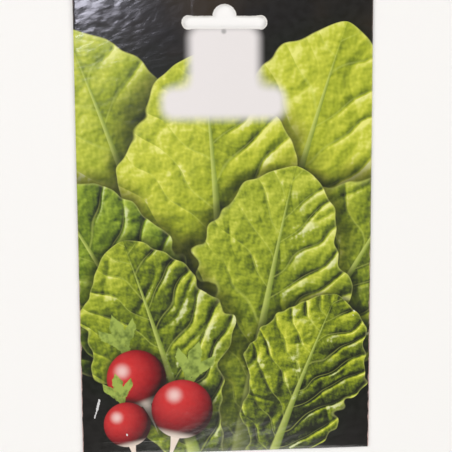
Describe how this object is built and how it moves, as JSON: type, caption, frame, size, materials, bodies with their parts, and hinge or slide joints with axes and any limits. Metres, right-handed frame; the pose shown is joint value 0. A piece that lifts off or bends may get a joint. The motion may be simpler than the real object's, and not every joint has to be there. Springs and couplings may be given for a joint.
{
  "type": "seed packet",
  "caption": "Flat folded paper seed packet, glued shut round a heap of seeds, with a euro hang slot punched through its header.",
  "frame": {"origin": "under the middle of the packet, at the height of the lowest face of its flaps, with the packet lying on its back", "axes": "+Z out of the printed front, +Y along the packet towards the hang slot, +X to the right as the front is read"},
  "size_m": [0.116, 0.183, 0.004],
  "materials": {
    "printed_paper": "gloss coated print",
    "seeds": "dry matt seed coats"
  },
  "bodies": {
    "root": {"paper_envelope": "printed_paper", "seeds": "seeds"}
  },
  "joints": []
}
